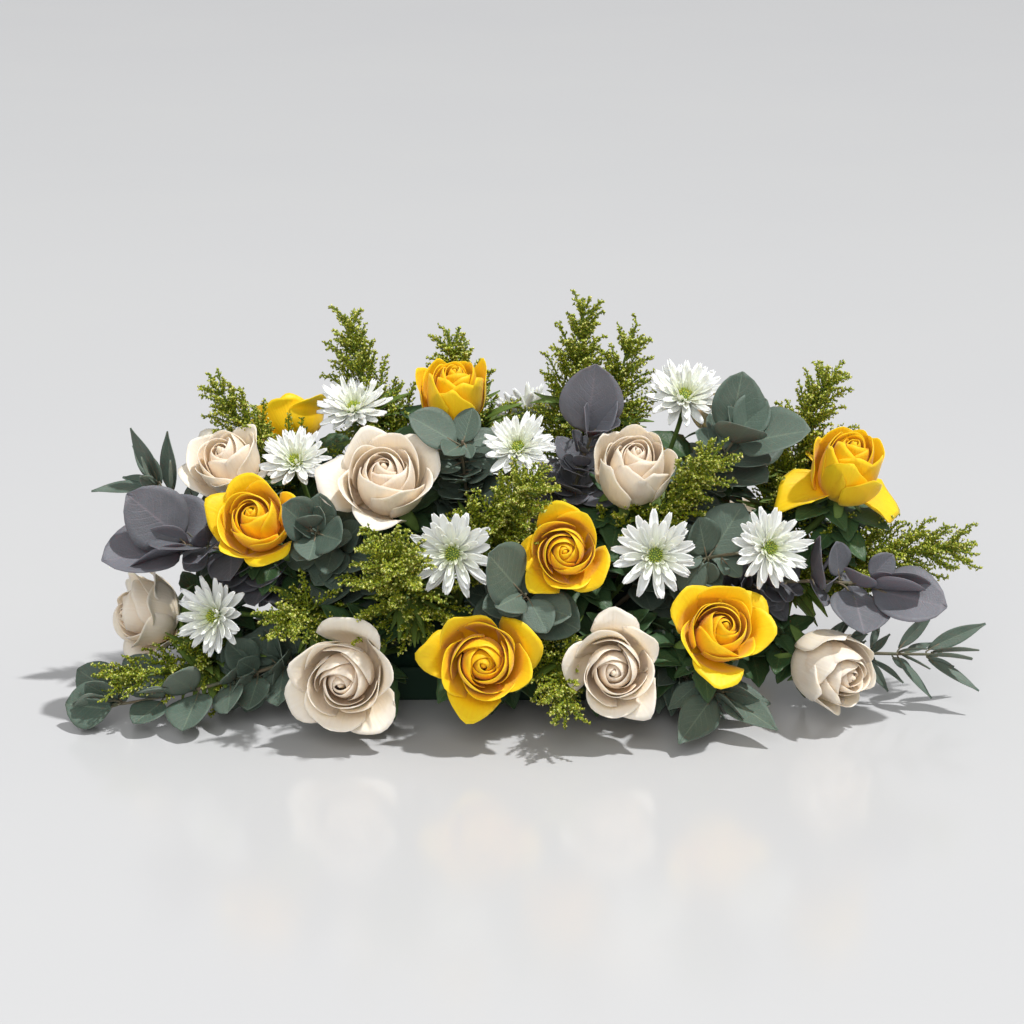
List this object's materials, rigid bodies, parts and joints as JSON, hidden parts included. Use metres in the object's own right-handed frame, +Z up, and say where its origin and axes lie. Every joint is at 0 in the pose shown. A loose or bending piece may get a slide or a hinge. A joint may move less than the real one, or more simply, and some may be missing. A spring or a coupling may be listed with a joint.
{
  "type": "floral table centerpiece",
  "caption": "Low, long table centrepiece of yellow and cream roses, white chrysanthemums, eucalyptus and goldenrod, each on its own stem in a brick of wet foam in a shallow tray.",
  "frame": {"origin": "middle of the tray's flat underside, on the table", "axes": "+X along the centrepiece, -Y towards its front, +Z up"},
  "size_m": [0.6493, 0.3189, 0.2882],
  "materials": {
    "tray_plastic": "dark green moulded plastic, satin",
    "wet_foam": "water-soaked open-cell floral foam, dark green, matt",
    "petal_yellow": "golden yellow rose petals, velvety, a little translucent",
    "petal_cream": "cream rose petals, warmer towards the heart, velvety",
    "petal_white": "white ray petals round a green-yellow heart",
    "leaf_silver": "waxy blue-green eucalyptus leaves, matt",
    "leaf_plum": "waxy plum-grey eucalyptus leaves, matt",
    "goldenrod": "yellow-green goldenrod with tight buds"
  },
  "bodies": {
    "root": {"tray": "tray_plastic", "foam": "wet_foam", "yellow_rose_front": "petal_yellow", "yellow_rose_front_right": "petal_yellow", "yellow_rose_middle": "petal_yellow", "yellow_rose_left": "petal_yellow", "yellow_rose_right": "petal_yellow", "yellow_rose_top": "petal_yellow", "yellow_rose_top_left": "petal_yellow", "yellow_rose_back_left": "petal_yellow", "yellow_rose_back_right": "petal_yellow", "cream_rose_upper_left": "petal_cream", "cream_rose_front_left": "petal_cream", "cream_rose_front_right": "petal_cream", "cream_rose_upper_right": "petal_cream", "cream_rose_right": "petal_cream", "cream_rose_top_left": "petal_cream", "cream_rose_top_right": "petal_cream", "cream_rose_left": "petal_cream", "cream_rose_back_left": "petal_cream", "cream_rose_back_right": "petal_cream", "cream_rose_back_end": "petal_cream", "chrysanthemum_right_of_middle": "petal_white", "chrysanthemum_left_of_middle": "petal_white", "chrysanthemum_right": "petal_white", "chrysanthemum_top_right": "petal_white", "chrysanthemum_top_left": "petal_white", "chrysanthemum_upper_left": "petal_white", "chrysanthemum_top": "petal_white", "chrysanthemum_left": "petal_white", "chrysanthemum_back_top": "petal_white", "chrysanthemum_back_middle": "petal_white", "eucalyptus_top": "leaf_silver", "eucalyptus_top_right": "leaf_plum", "eucalyptus_right_top": "leaf_silver", "eucalyptus_left": "leaf_plum", "eucalyptus_left_low": "leaf_silver", "eucalyptus_right": "leaf_plum", "eucalyptus_right_twig": "leaf_silver", "eucalyptus_middle": "leaf_silver", "eucalyptus_right_middle": "leaf_silver", "eucalyptus_right_low": "leaf_silver", "eucalyptus_left_middle": "leaf_silver", "eucalyptus_left_twig": "leaf_silver", "eucalyptus_back_left": "leaf_silver", "eucalyptus_back_right": "leaf_silver", "goldenrod_front_left": "goldenrod", "goldenrod_top_left": "goldenrod", "goldenrod_left": "goldenrod", "goldenrod_top": "goldenrod", "goldenrod_top_middle": "goldenrod", "goldenrod_top_back": "goldenrod", "goldenrod_right_top": "goldenrod", "goldenrod_right": "goldenrod", "goldenrod_middle": "goldenrod", "goldenrod_left_middle": "goldenrod", "goldenrod_front": "goldenrod", "goldenrod_right_middle": "goldenrod", "goldenrod_left_low": "goldenrod", "goldenrod_back": "goldenrod"}
  },
  "joints": []
}
